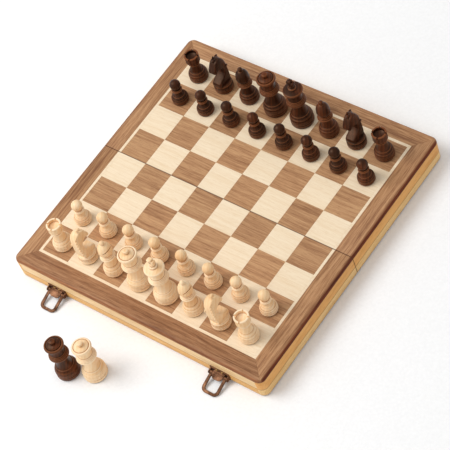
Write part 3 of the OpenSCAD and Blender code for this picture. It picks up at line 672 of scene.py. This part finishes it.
def makeKnight(r, h):
    low = 0.215 * h
    bm = turnProfile(footPoints(r, 0.93, 1.04) + [(0.8 * r, 1.1 * r), (0, 1.1 * r)])
    head = bmesh.new()
    face = head.faces.new([head.verts.new((0, y, z)) for y, z in knightOutline(r, h)])
    grown = bmesh.ops.extrude_face_region(head, geom=[face])
    moved = [v for v in grown["geom"] if isinstance(v, bmesh.types.BMVert)]
    bmesh.ops.translate(head, verts=moved, vec=(1, 0, 0))
    bmesh.ops.recalc_face_normals(head, faces=head.faces)
    for vert in head.verts:
        # thick at the shoulders, slimmer at the muzzle and the poll
        up = (vert.co.z - low) / (h - low)
        half = 0.5 * knight["thick"] * (1.15 - 0.36 * up) * (1 - 0.1 * max(vert.co.y / r, 0))
        vert.co.x = half if vert.co.x > 0.5 else -half
    rim = [e for e in head.edges if abs(e.verts[0].co.x - e.verts[1].co.x) < 1.5]
    bmesh.ops.bevel(head, geom=rim, offset=knight["edge"], offset_type="OFFSET", affect="EDGES", segments=3,
                    profile=0.5, material=-1, clamp_overlap=True)
    bmesh.ops.triangulate(head, faces=[f for f in head.faces if len(f.verts) > 4])

    def at(x, y, z):
        return (x, y * r, z * h)

    for side in (-1, 1):
        nostril = bmesh.new()
        addBall(nostril, at(side * 3.7, 0.76, 0.7), 0.7, (1, 1.2, 0.9), segments=10)
        head = carve(head, nostril)
        mouth = boxMesh((2.6, 4.4, 0.5), at(side * 4.6, 0.74, 0.662), Matrix.Rotation(-0.3, 4, "X"))
        head = carve(head, mouth)
        ear = bmesh.new()
        bmesh.ops.create_cone(ear, cap_ends=True, segments=14, radius1=2.1, radius2=0.4, depth=6.4)
        ear.transform(Matrix.Translation(at(side * 3.0, -0.06, 0.942))
                      @ Matrix.Rotation(-0.12 * side, 4, "Y") @ Matrix.Rotation(0.15, 4, "X")
                      @ Matrix.Diagonal((0.75, 1.15, 1, 1)))
        joinMeshes(head, ear)
        # jaw, eye and brow stand proud of the flat side
        cheek = bmesh.new()
        addBall(cheek, at(side * 3.9, 0.08, 0.755), 4.2, (0.36, 1, 1.05))
        addBall(cheek, at(side * 4.5, 0.33, 0.835), 1.1, (0.7, 1.2, 0.85), segments=12)
        addBall(cheek, at(side * 4.0, 0.32, 0.865), 1.8, (0.6, 1.3, 0.5), segments=12)
        joinMeshes(head, cheek)
        # locks of the mane down the back of the neck
        mane = bmesh.new()
        for i in range(8):
            z = 0.3 + 0.08 * i
            y = -0.66 - 0.35 * (z - 0.3) * (0.9 - z) * 4
            half = 0.5 * knight["thick"] * (1.15 - 0.36 * (z * h - low) / (h - low))
            addBall(mane, at(side * (half - 0.5), y, z), 2.9, (0.38, 0.95, 0.62),
                    Matrix.Rotation(0.6, 4, "X"), segments=14)
        joinMeshes(head, mane)
    forelock = bmesh.new()
    addBall(forelock, at(0, 0.16, 0.925), 2.6, (0.7, 1.3, 0.7), segments=14)
    joinMeshes(head, forelock)
    return joinMeshes(bm, head)


makers = {"pawn": makePawn, "rook": makeRook, "knight": makeKnight, "bishop": makeBishop, "queen": makeQueen,
          "king": makeKing}


def standMan(node):
    colour, kind = node.split("_")[0], node.replace("spare_", "").split("_")[1]
    low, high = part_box(node)
    r = (high.x - low.x) / 2 / mm
    h = (high.z - low.z) / mm
    key = (kind, round(r, 2), round(h, 2))
    if key not in drawn:
        bm = makers[kind](r, h)
        addFelt(bm, r)
        drawn[key] = bpy.data.meshes.new(kind)
        bm.to_mesh(drawn[key])
        bm.free()
    bm = bmesh.new()
    bm.from_mesh(drawn[key])
    facing = 0 if colour == "white" else math.pi
    middle = Vector(((low.x + high.x) / 2, (low.y + high.y) / 2, low.z))
    bm.transform(Matrix.Translation(middle) @ Matrix.Rotation(facing, 4, "Z") @ Matrix.Scale(mm, 4))
    wood, slot = (lightWood, "light_men") if colour == "white" else (darkWood, "dark_men")
    words = node.split("_")
    addPiece(words[0] + "".join(w.capitalize() for w in words[1:]), bm, [wood, baseFelt], node, [node])


drawn = {}
for node in frame["nodes"]:
    if node.startswith(("white_", "black_")):
        standMan(node)
for mesh in drawn.values():
    bpy.data.meshes.remove(mesh)
print("chessmen made")


# Studio

studio = {
    "floor": srgb(250, 250, 250),
    "sky": 0.6,
    "key": 42,
    "keyPlace": (-1.25, -0.9, 2.15),
    "keySize": 1.7,
    "fill": 4,
    "fillPlace": (-0.4, -2.5, 0.8),
    "fillSize": 1.4,
}


def addLight(name, place, aim, size, power, colour=(1, 1, 1)):
    light = bpy.data.objects.new(name, bpy.data.lights.new(name, "AREA"))
    light.data.shape = "DISK"
    light.data.size = size
    light.data.energy = power
    light.data.color = colour
    light.location = place
    light.rotation_euler = (Vector(aim) - Vector(place)).to_track_quat("-Z", "Y").to_euler()
    bpy.context.scene.collection.objects.link(light)


def addStudio():
    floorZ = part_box("near_pads")[0].z
    bm = bmesh.new()
    bmesh.ops.create_grid(bm, x_segments=8, y_segments=8, size=6, matrix=Matrix.Translation((0, 0, floorZ)))
    mesh = bpy.data.meshes.new("floor")
    bm.to_mesh(mesh)
    bm.free()
    floor = bpy.data.objects.new("floor", mesh)
    bpy.context.scene.collection.objects.link(floor)
    material, tree, shader = newMaterial("paper", 0.9)
    place = addNode(tree, "ShaderNodeTexCoord").outputs["Object"]
    paper = noiseNode(tree, place, 300, 3)
    tree.links.new(rampNode(tree, paper, [(0.3, studio["floor"]), (0.7, (1, 1, 1, 1))]),
                   shader.inputs["Base Color"])
    shader.inputs["Specular IOR Level"].default_value = 0.1
    mesh.materials.append(material)
    world = bpy.data.worlds.new("studio")
    bpy.context.scene.world = world
    world.use_nodes = True
    world.node_tree.nodes["Background"].inputs["Color"].default_value = (1, 1, 1, 1)
    world.node_tree.nodes["Background"].inputs["Strength"].default_value = studio["sky"]
    addLight("key", studio["keyPlace"], (0, 0, 0), studio["keySize"], studio["key"])
    addLight("fill", studio["fillPlace"], (0, 0, 0), studio["fillSize"], studio["fill"], (1, 0.98, 0.95))


addStudio()
bpy.context.scene.view_settings.view_transform = "Standard"
print("studio lit")
